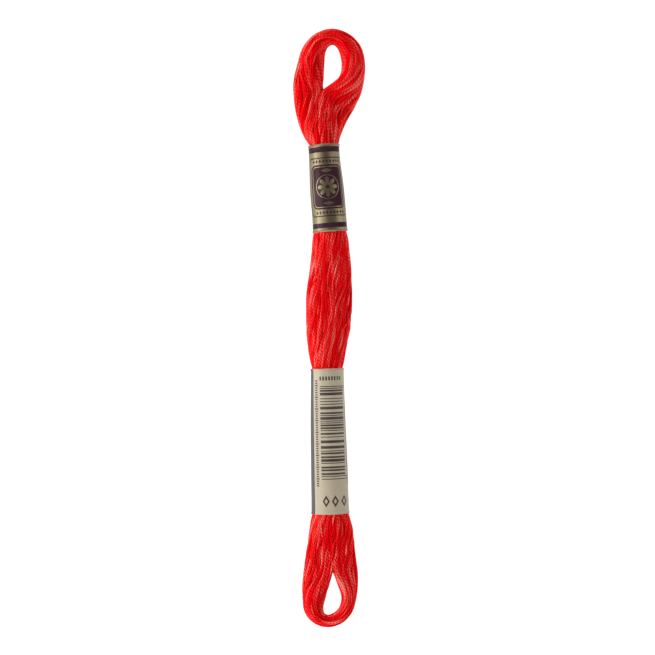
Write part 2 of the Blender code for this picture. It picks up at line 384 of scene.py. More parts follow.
class Stations:
    """The hank's sections as arrays, one entry for each station of the closed chain."""

    def __init__(self, floss, paper_room):
        top, bottom = MIDDLE_ROWS[0].seam_y, MIDDLE_ROWS[-1].seam_y
        heights = np.linspace(top, bottom, round((top - bottom) / STATION_SPACING) + 1)
        pairs = middle_sections(heights)
        left = [pair[0] for pair in pairs]
        right = [pair[1] for pair in pairs]
        lead = LEAD_SECTIONS
        over_top = loop_sections(TOP_LOOP_ROWS, left[lead - 1 :: -1], right[:lead], STATION_SPACING)
        round_bottom = loop_sections(
            BOTTOM_LOOP_ROWS, right[-lead:], left[: -lead - 1 : -1], STATION_SPACING
        )
        count = len(heights)
        self.part = np.repeat(
            [TOP_LOOP, DOWN_LIMB, BOTTOM_LOOP, UP_LIMB],
            [len(over_top), count, len(round_bottom), count],
        )
        loops = {TOP_LOOP: over_top, BOTTOM_LOOP: round_bottom[::-1]}
        turned = floss.hank_twist * np.linspace(0.0, 1.0, count)
        rows = []
        for part in range(4):
            if part in loops:
                rows += [self.loop_row(section) for section in loops[part]]
                continue
            order = range(count) if part == DOWN_LIMB else range(count - 1, -1, -1)
            rows += [self.middle_row(left[k], right[k], turned[k]) for k in order]
        rows = np.array(rows)
        self.origin, self.right_axis, self.left_axis = rows[:, 0:2], rows[:, 2:4], rows[:, 4:6]
        right_width, left_width, wall, thickness, lift, self.turned = rows[:, 6:12].T
        half = (thickness + UNDERSIDE_FLAT) / 2
        limbs = np.where(self.is_loop(), 1, 2)
        turn_room = math.pi / 2 * half * (right_width + left_width) / (floss.turns * limbs)
        loose = np.sqrt(turn_room / STRANDS * STRAND_SHARE * 4 / math.pi)
        nominal = floss.strand_diameter / MM
        self.diameter = np.clip(loose, nominal * TIGHTEST, nominal * LOOSEST)
        self.turn_gap = TURN_SPREAD * np.sqrt(turn_room)
        clear = self.diameter / 2 + paper_room * covered_by_paper(self.origin[:, 1])
        self.mid = lift + thickness - half
        self.floor = lift + clear
        self.reach_up = half - clear
        self.centre = np.where(self.is_loop(), np.maximum(right_width * wall, clear), 0.0)
        self.reach_out = right_width - self.centre - clear
        self.reach_in = np.where(
            self.is_loop(), np.maximum(self.centre - clear, LEAST_REACH), left_width - clear
        )

    def is_loop(self):
        return (self.part == TOP_LOOP) | (self.part == BOTTOM_LOOP)

    @staticmethod
    def axis_and_width(section):
        across = np.subtract(section.outer, section.inner)
        width = np.linalg.norm(across)
        return across / width, width

    def loop_row(self, section):
        across, width = self.axis_and_width(section)
        shape = (section.wall, section.thickness, section.lift, 0.0)
        return (*section.inner, *across, *-across, width, 0.0, *shape)

    def middle_row(self, left, right, turned):
        left_axis, left_width = self.axis_and_width(left)
        right_axis, right_width = self.axis_and_width(right)
        shape = (0.0, left.thickness, left.lift, turned)
        return (*left.inner, *right_axis, *left_axis, right_width, left_width, *shape)

    def places(self, across, height):
        """Points in space of positions across and up the sections. Across is negative on the left limb."""
        on_right = (across >= 0)[..., None]
        axis = np.where(on_right, self.right_axis[:, None, :], self.left_axis[:, None, :])
        flat = self.origin[:, None, :] + axis * np.abs(across)[..., None]
        return np.concatenate([flat, height[..., None]], axis=-1)

    def facing(self, across, height, lean):
        """Directions in space in which the hank's surface faces at each position, leant sideways."""
        sideways = across - self.centre[:, None]
        reach = np.where(sideways >= 0, self.reach_out[:, None], self.reach_in[:, None])
        side_share = sideways / np.maximum(reach, LEAST_FACING_REACH) ** 2
        up_share = (height - self.mid[:, None]) / self.reach_up[:, None] ** 2
        on_right = (across >= 0)[..., None]
        axis = np.where(on_right, self.right_axis[:, None, :], self.left_axis[:, None, :])
        side_share = np.where(across >= 0, side_share, -side_share)
        length = np.hypot(side_share, up_share) + TINY
        side_share = side_share / length + lean
        faced = np.concatenate([axis * side_share[..., None], (up_share / length)[..., None]], axis=-1)
        return faced / (np.linalg.norm(faced, axis=-1, keepdims=True) + TINY)

    def moves_to_section(self, across, move):
        """A move in space as a move across and up the sections."""
        on_right = across >= 0
        axis = np.where(on_right[..., None], self.right_axis[:, None, :], self.left_axis[:, None, :])
        along = (move[..., :2] * axis).sum(-1)
        return np.where(on_right, along, -along), move[..., 2]

    def confine(self, across, height):
        """Positions drawn back inside the sections' outlines and above their floor."""
        centre, mid = self.centre[:, None], self.mid[:, None]
        sideways = across - centre
        reach = np.where(sideways >= 0, self.reach_out[:, None], self.reach_in[:, None])
        upwards = (height - mid) / self.reach_up[:, None]
        sideways = sideways / reach
        over = np.maximum(np.hypot(sideways, upwards), 1.0)
        across = centre + sideways / over * reach
        height = mid + upwards / over * self.reach_up[:, None]
        return across, np.maximum(height, self.floor[:, None])

    def fill(self, across, height, partner):
        """Positions spread out where the lines would leave the outline's sides or top empty."""
        centre, mid = self.centre[:, None], self.mid[:, None]
        filled = []
        for values, middle, reach in (
            (across, centre, self.reach_out),
            (-across, -centre, self.reach_in),
            (height, mid, self.reach_up),
        ):
            share = ((values - middle) / reach[:, None]).max(axis=1)
            share = np.maximum(share, share[partner])
            swell = 1 + FILL_RATE * np.maximum(FILL_SHARE - share, 0.0)[:, None]
            filled.append(middle + (values - middle) * np.where(values > middle, swell, 1.0))
        outwards, inwards, upwards = filled
        return np.where(across > centre, outwards, -inwards), upwards


# Laying the turns and their strands


def sunflower(count):
    """Points spread evenly in a circle of radius 1."""
    k = np.arange(count) + 0.5
    radius, angle = np.sqrt(k / count), k * math.pi * (3 - math.sqrt(5))
    return radius * np.cos(angle), radius * np.sin(angle)


# Waves along the closed chain, counted by how often they come. Their size falls off by this power of it.
WANDER_WAVES = range(2, 15)
SHINE_WAVES = range(5, 56)
WAVE_FALL = 0.6

# Turns keep within this share of a limb's round shape.
ROUND_SHARE = 0.97


def wandering(share, count, size, rng, waves=WANDER_WAVES):
    """A smooth random wave for each of count lines along the closed chain."""
    wave = np.zeros((len(share), count))
    for n in waves:
        phase = rng.uniform(0, 2 * math.pi, count)
        weight = rng.normal(0.0, 1.0, count) / n**WAVE_FALL
        wave += weight * np.sin(2 * math.pi * n * share[:, None] + phase)
    return wave / wave.std() * size


def lay_turns(stations, floss, rng):
    """First places of the turns in the sections: each keeps its own place in the limb, and wanders."""
    x, y = sunflower(floss.turns)
    count = len(stations.part)
    share = np.arange(count) / count
    x = x + wandering(share, floss.turns, floss.wander, rng)
    y = y + wandering(share, floss.turns, floss.wander, rng)
    over = np.maximum(np.hypot(x, y) / ROUND_SHARE, 1.0)
    x, y = x / over, y / over
    side = np.sqrt(1 - y**2)
    part = stations.part[:, None]
    y = np.where((part == BOTTOM_LOOP) | (part == UP_LIMB), -y, y)
    half_x = (x + side) / 2
    start = np.where(part == UP_LIMB, floss.hank_twist, 0.0)
    turn = stations.turned[:, None] - start
    turned_x = half_x * np.cos(turn) - y * np.sin(turn)
    turned_y = half_x * np.sin(turn) + y * np.cos(turn)
    reach_out, reach_in = stations.reach_out[:, None], stations.reach_in[:, None]
    in_loop = stations.centre[:, None] - reach_in * side + (reach_out + reach_in) * half_x
    in_middle = turned_x * np.where(turned_x > 0, reach_out, reach_in)
    is_loop = stations.is_loop()[:, None]
    across = np.where(is_loop, in_loop, in_middle)
    height = stations.mid[:, None] + np.where(is_loop, y, turned_y) * stations.reach_up[:, None]
    return across, height


def push_apart(across, height, gap):
    """Moves that bring the points of each row out to the gap from each other."""
    sideways = across[:, :, None] - across[:, None, :]
    upwards = height[:, :, None] - height[:, None, :]
    distance = np.sqrt(sideways**2 + upwards**2) + TINY
    share = np.maximum(gap[:, None, None] - distance, 0.0) / distance / 2
    return (sideways * share).sum(2), (upwards * share).sum(2)


def settle(stations, across, height, gap, rounds, stiffness, gather=None):
    """Relaxes the lines: each keeps its distance from the others, bends evenly and stays inside the hank.

    In the middle both limbs share a section, so the lines of both are pushed apart there together.
    """
    down = np.flatnonzero(stations.part == DOWN_LIMB)
    up = np.flatnonzero(stations.part == UP_LIMB)[::-1]
    loops = np.flatnonzero(stations.is_loop())
    partner = np.arange(len(stations.part))
    partner[down], partner[up] = up, down
    lines = across.shape[1]
    across, height = across.astype(np.float32), height.astype(np.float32)
    for _ in range(rounds):
        places = stations.places(across, height)
        bend = (np.roll(places, 1, 0) + np.roll(places, -1, 0)) / 2 - places
        evened = bend - (np.roll(bend, 1, 0) + np.roll(bend, -1, 0)) / 2
        d_across, d_height = stations.moves_to_section(across, evened * stiffness)
        both_across = np.concatenate([across[down], across[up]], axis=1)
        both_height = np.concatenate([height[down], height[up]], axis=1)
        push_across, push_height = push_apart(both_across, both_height, gap[down])
        d_across[down] += push_across[:, :lines]
        d_height[down] += push_height[:, :lines]
        d_across[up] += push_across[:, lines:]
        d_height[up] += push_height[:, lines:]
        push_across, push_height = push_apart(across[loops], height[loops], gap[loops])
        d_across[loops] += push_across
        d_height[loops] += push_height
        if gather is not None:
            pull_across, pull_height = gather(stations, across, height)
            d_across += pull_across
            d_height += pull_height
        across, height = stations.fill(across + d_across, height + d_height, partner)
        across, height = stations.confine(across, height)
        across, height = across.astype(np.float32), height.astype(np.float32)
    return across, height


# In strand diameters: the ring of a turn's six, the gap between strands, and how far one may stray.
STRAND_RING = 0.8
STRAND_GAP = 1.03
GATHER_REACH = 1.15
GATHER_SHARE = 0.08
TWIST_SPREAD = 2


def lay_strands(stations, across, height, floss, rng):
    """The six strands of each turn, in a ring round its line that turns with the floss and the hank."""
    turns = across.shape[1]
    count = len(stations.part)
    share = (np.arange(count) / count)[:, None, None]
    start = rng.uniform(0, 2 * math.pi, turns)[None, :, None]
    twists = floss.floss_twists + rng.integers(-TWIST_SPREAD, TWIST_SPREAD + 1, turns)[None, :, None]
    spread = (np.arange(STRANDS) / STRANDS)[None, None, :] * 2 * math.pi
    angle = start + spread + 2 * math.pi * twists * share
    part = stations.part[:, None, None]
    turned = stations.turned[:, None, None]
    angle = np.select(
        [part == TOP_LOOP, part == DOWN_LIMB, part == BOTTOM_LOOP],
        [angle, angle + turned, -angle],
        -angle + turned - floss.hank_twist,
    )
    ring = STRAND_RING * stations.diameter[:, None, None]
    strands_across = across[:, :, None] + ring * np.cos(angle)
    strands_height = height[:, :, None] + ring * np.sin(angle)
    return strands_across.reshape(count, -1), strands_height.reshape(count, -1)


def gather_strands(stations, across, height):
    """Pull of each strand towards the middle of its own six, where it strays too far from it."""
    count = len(across)
    pulls = []
    for values in (across, height):
        six = values.reshape(count, -1, STRANDS)
        pulls.append(six.mean(2, keepdims=True) - six)
    distance = np.hypot(*pulls) + TINY
    reach = GATHER_REACH * stations.diameter[:, None, None]
    share = np.maximum(distance - reach, 0.0) / distance * GATHER_SHARE
    return [(pull * share).reshape(count, -1) for pull in pulls]


def ring_directions(stations, across, height):
    """Direction in space of each strand from the middle of its own six, longer the farther out it lies."""
    count = len(across)
    moves = []
    for values in (across, height):
        six = values.reshape(count, -1, STRANDS)
        moves.append((six - six.mean(2, keepdims=True)).reshape(count, -1))
    on_right = across >= 0
    axis = np.where(on_right[..., None], stations.right_axis[:, None, :], stations.left_axis[:, None, :])
    sideways = np.where(on_right, moves[0], -moves[0])
    ring = np.concatenate([axis * sideways[..., None], moves[1][..., None]], axis=-1)
    ring /= STRAND_RING * stations.diameter[:, None, None]
    return ring / np.maximum(np.linalg.norm(ring, axis=-1, keepdims=True), 1.0)


TURN_ROUNDS, TURN_STIFFNESS = 220, 0.30
STRAND_ROUNDS, STRAND_STIFFNESS = 60, 0.25
PAPER_SLACK = 0.16

# How far turns and strands lean from the hank's own slope, and a strand faces out of its own six.
FLOSS_LEAN, STRAND_LEAN = 0.10, 0.12
RING_SHARE = 0.8

# What each turn and each strand add at random to a strand's painted light, and the painted highlight on the
# hank's sloping sides and on strands that lie on top of their six.
TURN_SHINE, STRAND_SHINE = 0.04, 0.13
SLOPE_SHINE, MIDDLE_SLOPE = 0.03, 0.5
CROWN_SHINE = 0.27


def wind_hank(floss, paper_room):
    """The strands' paths in millimetres, thickness, facing and painted light, by station, strand and value.
    """
    rng = np.random.default_rng(SEED)
    stations = Stations(floss, paper_room)
    across, height = lay_turns(stations, floss, rng)
    across, height = settle(stations, across, height, stations.turn_gap, TURN_ROUNDS, TURN_STIFFNESS)
    across, height = lay_strands(stations, across, height, floss, rng)
    gap = stations.diameter * STRAND_GAP
    across, height = settle(
        stations, across, height, gap, STRAND_ROUNDS, STRAND_STIFFNESS, gather_strands
    )
    share = np.arange(len(across)) / len(across)
    lines = across.shape[1]
    lean = np.repeat(wandering(share, floss.turns, FLOSS_LEAN, rng), STRANDS, axis=1)
    lean += wandering(share, lines, STRAND_LEAN, rng)
    facing = stations.facing(across, height, lean)
    ring = ring_directions(stations, across, height)
    crown = (ring * facing).sum(-1)
    # Painted light of each strand: random along turns and strands, higher on the hank's sloping sides, and
    # highest where a strand lies on top of its six, as a painted highlight.
    painted_shine = np.repeat(wandering(share, floss.turns, TURN_SHINE, rng), STRANDS, axis=1)
    painted_shine += wandering(share, lines, STRAND_SHINE, rng, SHINE_WAVES)
    painted_shine += SLOPE_SHINE * (np.linalg.norm(facing[..., :2], axis=-1) - MIDDLE_SLOPE)
    painted_shine += CROWN_SHINE * crown
    facing = facing + RING_SHARE * ring
    facing /= np.linalg.norm(facing, axis=-1, keepdims=True) + TINY
    thickness = np.repeat(stations.diameter[:, None], lines, axis=1)
    values = [stations.places(across, height), thickness[..., None], facing, painted_shine[..., None]]
    return stations, np.concatenate(values, axis=-1)


# Steps from one station to the next in the loops, in sight along the middle, and under the paper.
LOOP_STEPS, MIDDLE_STEPS, HIDDEN_STEPS = 3, 2, 1
FULLY_COVERED = 0.99


def refine(stations, places):
    """More stations along the strands by a rounded curve: most in the loops, fewest under the paper."""
    before, after = np.roll(places, 1, 0), np.roll(places, -1, 0)
    beyond = np.roll(places, -2, 0)
    hidden_at = covered_by_paper(stations.origin[:, 1]) > FULLY_COVERED
    fine = []
    for k in range(len(places)):
        steps = HIDDEN_STEPS if hidden_at[k] else MIDDLE_STEPS
        if stations.is_loop()[k]:
            steps = LOOP_STEPS
        for t in np.arange(steps) / steps:
            fine.append(
                0.5
                * (
                    2 * places[k]
                    + (after[k] - before[k]) * t
                    + (2 * before[k] - 5 * places[k] + 4 * after[k] - beyond[k]) * t**2
                    + (3 * places[k] - before[k] - 3 * after[k] + beyond[k]) * t**3
                )
            )
    return np.array(fine)


def add_piece(name, mesh, material, slot, *nodes):
    """Puts a finished mesh in the scene, riding on the part and standing for these nodes."""
    piece = bpy.data.objects.new(name, mesh)
    bpy.context.scene.collection.objects.link(piece)
    if material.name not in [m.name for m in mesh.materials if m]:
        mesh.materials.append(material)
    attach(piece, "root")
    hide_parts(*nodes)
    return piece


TUBE_SIDES = 6


def point_attribute(mesh, name, kind, values):
    """Gives each ring of a mesh of tubes its strand's value there."""
    layer = mesh.attributes.new(name, kind, "POINT")
    rings = np.repeat(values.swapaxes(0, 1).reshape(-1, values.shape[-1]), TUBE_SIDES, axis=0)
    field = "value" if kind == "FLOAT" else "vector"
    layer.data.foreach_set(field, rings.astype(np.float32).ravel())


def strand_tubes(name, strands, tones):
    """Mesh of closed round tubes, with a UV map of millimetres along and share round.

    Each point also has its strand's tone and painted light, and the direction in which the hank faces
    there.
    """
    points, count = strands.shape[:2]
    paths, thickness = strands[..., 0:3], strands[..., 3]
    curve = bpy.data.curves.new(name, "CURVE")
    curve.dimensions = "3D"
    curve.bevel_depth = MM / 2
    curve.bevel_resolution = (TUBE_SIDES - 4) // 2
    for k in range(count):
        spline = curve.splines.new("POLY")
        spline.points.add(points - 1)
        spline.points.foreach_set("co", np.c_[paths[:, k] * MM, np.ones(points)].ravel())
        spline.points.foreach_set("radius", thickness[:, k])
        spline.use_cyclic_u = True
    holder = bpy.data.objects.new(name, curve)
    bpy.context.scene.collection.objects.link(holder)
    evaluated = holder.evaluated_get(bpy.context.evaluated_depsgraph_get())
    mesh = bpy.data.meshes.new_from_object(evaluated)
    bpy.data.objects.remove(holder)
    bpy.data.curves.remove(curve)
    mesh.name = name
    steps = np.linalg.norm(np.roll(paths, -1, 0) - paths, axis=2)
    along = np.concatenate([np.zeros((1, count)), np.cumsum(steps, axis=0)])
    corners = mesh.uv_layers[0].uv
    uv = np.zeros(len(corners) * 2, np.float32)
    corners.foreach_get("vector", uv)
    uv = uv.reshape(count, -1, 2)
    ring = np.rint(uv[:, :, 0] * points).astype(int)
    uv[:, :, 0] = np.take_along_axis(along.T, ring, axis=1)
    corners.foreach_set("vector", uv.ravel())
    point_attribute(mesh, "tone", "FLOAT", np.repeat(tones[None, :, None], points, axis=0))
    point_attribute(mesh, "facing", "FLOAT_VECTOR", strands[..., 4:7])
    point_attribute(mesh, "painted_shine", "FLOAT", strands[..., 7:8])
    mesh.shade_smooth()
    return mesh


# Materials


def new_material(name):
    material = bpy.data.materials.new(name)
    material.use_nodes = True
    return material, material.node_tree, material.node_tree.nodes["Principled BSDF"]


def give_inputs(tree, node, inputs):
    """Gives each named or numbered input of a node a value or a link."""
    for key, value in inputs.items():
        socket = node.inputs[key]
        if isinstance(value, bpy.types.NodeSocket):
            tree.links.new(value, socket)
        else:
            socket.default_value = value


def add_node(tree, kind, inputs=None, **settings):
    made = tree.nodes.new(kind)
    for key, value in settings.items():
        setattr(made, key, value)
    give_inputs(tree, made, inputs or {})
    return made


def math_node(tree, operation, *values, clamp=False):
    inputs = dict(enumerate(values))
    return add_node(tree, "ShaderNodeMath", inputs, operation=operation, use_clamp=clamp).outputs[0]


def mix_colours(tree, share, first, second):
    inputs = {0: share, 6: first, 7: second}
    return add_node(tree, "ShaderNodeMix", inputs, data_type="RGBA").outputs[2]


def noise(tree, place, scale, detail):
    inputs = {"Vector": place, "Scale": scale, "Detail": detail}
    return add_node(tree, "ShaderNodeTexNoise", inputs).outputs[0]


def bumped(tree, height, distance, **more):
    """Normal of a surface that rises by this distance where the height goes from 0 to 1."""
    inputs = {"Strength": 1.0, "Distance": distance, "Height": height, **more}
    return add_node(tree, "ShaderNodeBump", inputs).outputs[0]


def uv_coordinates(tree):
    uv = add_node(tree, "ShaderNodeUVMap", uv_map="UVMap").outputs[0]
    split = add_node(tree, "ShaderNodeSeparateXYZ", {0: uv})
    return split.outputs[0], split.outputs[1]


def strand_value(tree, name, output="Fac"):
    """A value that the points of the strands carry."""
    return add_node(tree, "ShaderNodeAttribute", attribute_name=name).outputs[output]


def rgba(colour, brightness=1.0):
    return (*(c * brightness for c in colour), 1.0)


# Fibres run along a ply, fine across it and drawn out along it, and each strand has its own.
FIBRE_FINENESS, FIBRE_STRETCH = 2.2, 0.45
FIBRE_SCALE, FIBRE_DETAIL = 1.3, 2.0
TONE_SPREAD = 60.0

# What the plies and fibres add to a strand's painted light at most, and what is taken off so that it stays
# level. The plies paint highlight on their crowns and shade in the grooves between them; the fibres vary it
# at random.
PLY_LIGHT, PLY_LEVEL = 0.33, 0.21
FIBRE_LIGHT, FIBRE_LEVEL = 0.5, 0.25

# How fast the dyed colour comes out of the painted shade, and the painted highlight with its gloss comes
# up, with the painted light, and where they start.
DYED_RATE, DYED_START = 1.5, 0.5
GLOSS_RATE, GLOSS_START = 2.3, -0.30
GLOSS_METALLIC = 0.05

FLOSS_ROUGHNESS, FIBRE_ROUGHNESS, GLOSS_SMOOTHING = 0.36, 0.3, 0.12
FLOSS_SPECULAR, FLOSS_SPECULAR_TINT = 0.05, (1.0, 0.2, 0.2, 1.0)
PLY_RELIEF, FIBRE_RELIEF = 0.05 * MM, 0.10

# How much of the light scatters inside the floss, how far it goes there, and how far in each colour.
SCATTER_SHARE, SCATTER_REACH, SCATTER_COLOUR = 0.5, 0.5 * MM, (1.0, 0.10, 0.08)

# How far a strand's own normal gives way to the direction in which the hank faces.
HANK_SHARE = 0.62


def plies_and_fibres(tree, floss):
    """Height of a strand's two plies, and the unevenness of the fibres that run along them."""
    along, around = uv_coordinates(tree)
    turns = math_node(tree, "DIVIDE", along, floss.ply_pitch / MM)
    phase = math_node(tree, "MULTIPLY", math_node(tree, "ADD", turns, around), 2 * math.pi)
    sine, cosine = math_node(tree, "SINE", phase), math_node(tree, "COSINE", phase)
    drawn_out = math_node(tree, "MULTIPLY", along, FIBRE_STRETCH)
    lane = {
        0: math_node(tree, "MULTIPLY", sine, FIBRE_FINENESS),
        1: math_node(tree, "MULTIPLY", cosine, FIBRE_FINENESS),
        2: math_node(tree, "MULTIPLY_ADD", strand_value(tree, "tone"), TONE_SPREAD, drawn_out),
    }
    place = add_node(tree, "ShaderNodeCombineXYZ", lane).outputs[0]
    return math_node(tree, "ABSOLUTE", sine), noise(tree, place, FIBRE_SCALE, FIBRE_DETAIL)


def strand_normal(tree, relief):
    """Normal of a strand with its relief, turned part of the way to where the hank faces."""
    own = add_node(tree, "ShaderNodeNewGeometry").outputs["Normal"]
    faces = {0: HANK_SHARE, 4: own, 5: strand_value(tree, "facing", "Vector")}
    blend = add_node(tree, "ShaderNodeMix", faces, data_type="VECTOR").outputs[1]
    normal = add_node(tree, "ShaderNodeVectorMath", {0: blend}, operation="NORMALIZE").outputs[0]
    return bumped(tree, relief, PLY_RELIEF, Normal=normal)


def floss_material(floss):
    """Mercerised cotton: two plies round each other, fine fibres along them, and a painted highlight in the
    base colour.
    """
    material, tree, shader = new_material("red floss")
    ply, fibres = plies_and_fibres(tree, floss)
    # Painted light: the strand's painted shine, its plies and its fibres decide how far the base colour
    # goes from painted shade through the dyed colour to the painted highlight; the same share also makes
    # the floss smoother and a little metallic there.
    light = math_node(tree, "SUBTRACT", strand_value(tree, "painted_shine"), PLY_LEVEL)
    light = math_node(tree, "MULTIPLY_ADD", ply, PLY_LIGHT, light)
    light = math_node(tree, "SUBTRACT", light, FIBRE_LEVEL)
    light = math_node(tree, "MULTIPLY_ADD", fibres, FIBRE_LIGHT, light)
    dyed_not_painted_shade = math_node(tree, "MULTIPLY_ADD", light, DYED_RATE, DYED_START, clamp=True)
    gloss_and_painted_highlight = math_node(tree, "MULTIPLY_ADD", light, GLOSS_RATE, GLOSS_START, clamp=True)
    gloss_and_painted_highlight = math_node(tree, "MULTIPLY", gloss_and_painted_highlight, gloss_and_painted_highlight)
    colour = mix_colours(tree, dyed_not_painted_shade, rgba(floss.shade), rgba(floss.colour))
    rough = math_node(tree, "MULTIPLY_ADD", fibres, FIBRE_ROUGHNESS, FLOSS_ROUGHNESS)
    relief = math_node(tree, "MULTIPLY_ADD", fibres, FIBRE_RELIEF, ply)
    inputs = {
        "Base Color": mix_colours(tree, gloss_and_painted_highlight, colour, rgba(floss.painted_sheen)),
        "Metallic": math_node(tree, "MULTIPLY", gloss_and_painted_highlight, GLOSS_METALLIC),
        "Roughness": math_node(tree, "MULTIPLY_ADD", gloss_and_painted_highlight, -GLOSS_SMOOTHING, rough),
        "Normal": strand_normal(tree, relief),
        "Specular IOR Level": FLOSS_SPECULAR,
        "Specular Tint": FLOSS_SPECULAR_TINT,
        "Subsurface Weight": SCATTER_SHARE,
        "Subsurface Scale": SCATTER_REACH,
        "Subsurface Radius": SCATTER_COLOUR,
    }
    give_inputs(tree, shader, inputs)
    return material


# The bands' print, drawn in millimetres: u runs round a band from its top seam, v is its place along Y.
PRINT_EDGE = 0.05


def print_mask(tree, depth):
    """1 where a depth in millimetres is above 0, with an edge as soft as ink on paper."""
    return math_node(tree, "MULTIPLY_ADD", depth, 1 / PRINT_EDGE, 0.5, clamp=True)


def either(tree, *masks):
    joined = masks[0]
    for mask in masks[1:]:
        joined = math_node(tree, "MAXIMUM", joined, mask)
    return joined


def offset_from(tree, value, centre):
    """Distance of a coordinate from a centre line."""
    return math_node(tree, "ABSOLUTE", math_node(tree, "SUBTRACT", value, centre))


def length_of(tree, values):
    """Length of the slanting line that goes this far along u and v."""
    squares = [math_node(tree, "MULTIPLY", value, value) for value in values]
    return math_node(tree, "SQRT", math_node(tree, "ADD", *squares))


def between(tree, value, low, high):
    depth = math_node(tree, "SUBTRACT", (high - low) / 2, offset_from(tree, value, (low + high) / 2))
    return print_mask(tree, depth)


def box_depth(tree, u, v, centre, half_size, corner):
    """How deep a place lies inside a rectangle with round corners. It is negative outside."""
    past = []
    for value, middle, half in zip((u, v), centre, half_size):
        past.append(math_node(tree, "SUBTRACT", offset_from(tree, value, middle), half - corner))
    distance = length_of(tree, [math_node(tree, "MAXIMUM", value, 0.0) for value in past])
    inside = math_node(tree, "MINIMUM", math_node(tree, "MAXIMUM", *past), 0.0)
    return math_node(tree, "SUBTRACT", corner, math_node(tree, "ADD", distance, inside))


def line_along(tree, depth, width):
    """Mask of a line of this width along the edge of a shape."""
    return print_mask(tree, math_node(tree, "SUBTRACT", width / 2, math_node(tree, "ABSOLUTE", depth)))


# A lozenge's sides slant, so its depth grows slower than along its short half.
LOZENGE_SLANT = 0.8


def lozenge_depth(tree, u, v, centre, half_size):
    shares = []
    for value, middle, half in zip((u, v), centre, half_size):
        shares.append(math_node(tree, "DIVIDE", offset_from(tree, value, middle), half))
    depth = math_node(tree, "SUBTRACT", 1.0, math_node(tree, "ADD", *shares))
    return math_node(tree, "MULTIPLY", depth, min(half_size) * LOZENGE_SLANT)


PETALS = 8
PETAL_ROOT = 0.25
PETAL_SLIMNESS = 0.6


def rosette_depth(tree, u, v, centre, radius):
    """Depth inside a flower whose petals part almost to its middle, and the distance from its middle."""
    across = math_node(tree, "SUBTRACT", u, centre[0])
    up = math_node(tree, "SUBTRACT", v, centre[1])
    angle = math_node(tree, "ARCTAN2", up, across)
    wave = math_node(tree, "COSINE", math_node(tree, "MULTIPLY", angle, PETALS / 2))
    reach = math_node(tree, "POWER", math_node(tree, "ABSOLUTE", wave), PETAL_SLIMNESS)
    reach = math_node(tree, "MULTIPLY_ADD", reach, radius * (1 - PETAL_ROOT), radius * PETAL_ROOT)
    distance = length_of(tree, (across, up))
    return math_node(tree, "SUBTRACT", reach, distance), distance


# Half the width of a tick as a share of the pitch, and the length of a short tick as a share of a long one.
TICK_SHARE, SHORT_TICK = 0.3, 0.7


def tick_scale(tree, across, along, place, pitch, every):
    """A scale of even ticks, every few of them longer. Its place is low and high across, then along."""
    low, high, start, end = place
    step = math_node(tree, "FRACT", math_node(tree, "DIVIDE", along, pitch))
    depth = math_node(tree, "SUBTRACT", TICK_SHARE, offset_from(tree, step, 0.5))
    ticks = print_mask(tree, math_node(tree, "MULTIPLY", depth, pitch))
    group = math_node(tree, "FRACT", math_node(tree, "DIVIDE", along, pitch * every))
    is_long = math_node(tree, "LESS_THAN", group, 1 / every)
    half = (high - low) / 2
    reach = math_node(tree, "MULTIPLY_ADD", is_long, half * (1 - SHORT_TICK), half * SHORT_TICK)
    from_middle = offset_from(tree, across, (low + high) / 2)
    inside = print_mask(tree, math_node(tree, "SUBTRACT", reach, from_middle))
    marks = math_node(tree, "MULTIPLY", ticks, inside)
    return math_node(tree, "MULTIPLY", marks, between(tree, along, start, end))


END_STRIPES = ((46.75, 48.2), (26.65, 27.95))
FRAME_HALF, FRAME_CORNER, FRAME_LINE = (5.7, 7.7), 1.3, 0.28
PANEL_CENTRE = (0.25, 37.5)
PANEL_HALF, PANEL_CORNER = (4.75, 5.9), 1.6
RIM_INSET, RIM_LINE = 0.55, 0.22
ROSETTE_RADIUS, ROSETTE_EYE = 2.7, 0.55
RING_RADIUS, RING_LINE = 3.15, 0.18
STUD_OFFSET, STUD_HALF = 4.35, (1.5, 0.55)
DOT_ROW_OFFSET, DOT_ROW_REACH = 6.8, 4.3
DOT_PITCH, DOT_HALF = 0.95, (0.34, 0.5)


def panel_print(tree, u, v):
    """A dark panel on which a thin rim, a ring round a rosette and two lozenges stay gold."""
    panel_depth = box_depth(tree, u, v, PANEL_CENTRE, PANEL_HALF, PANEL_CORNER)
    rim = line_along(tree, math_node(tree, "SUBTRACT", panel_depth, RIM_INSET), RIM_LINE)
    petals, from_centre = rosette_depth(tree, u, v, PANEL_CENTRE, ROSETTE_RADIUS)
    eye = print_mask(tree, math_node(tree, "SUBTRACT", ROSETTE_EYE, from_centre))
    ring = line_along(tree, math_node(tree, "SUBTRACT", RING_RADIUS, from_centre), RING_LINE)
    studs = []
    for side in (-1, 1):
        centre = (PANEL_CENTRE[0], PANEL_CENTRE[1] + side * STUD_OFFSET)
        studs.append(print_mask(tree, lozenge_depth(tree, u, v, centre, STUD_HALF)))
    gold = either(tree, rim, print_mask(tree, petals), ring, *studs)
    gold = math_node(tree, "SUBTRACT", gold, eye, clamp=True)
    return math_node(tree, "SUBTRACT", print_mask(tree, panel_depth), gold, clamp=True)


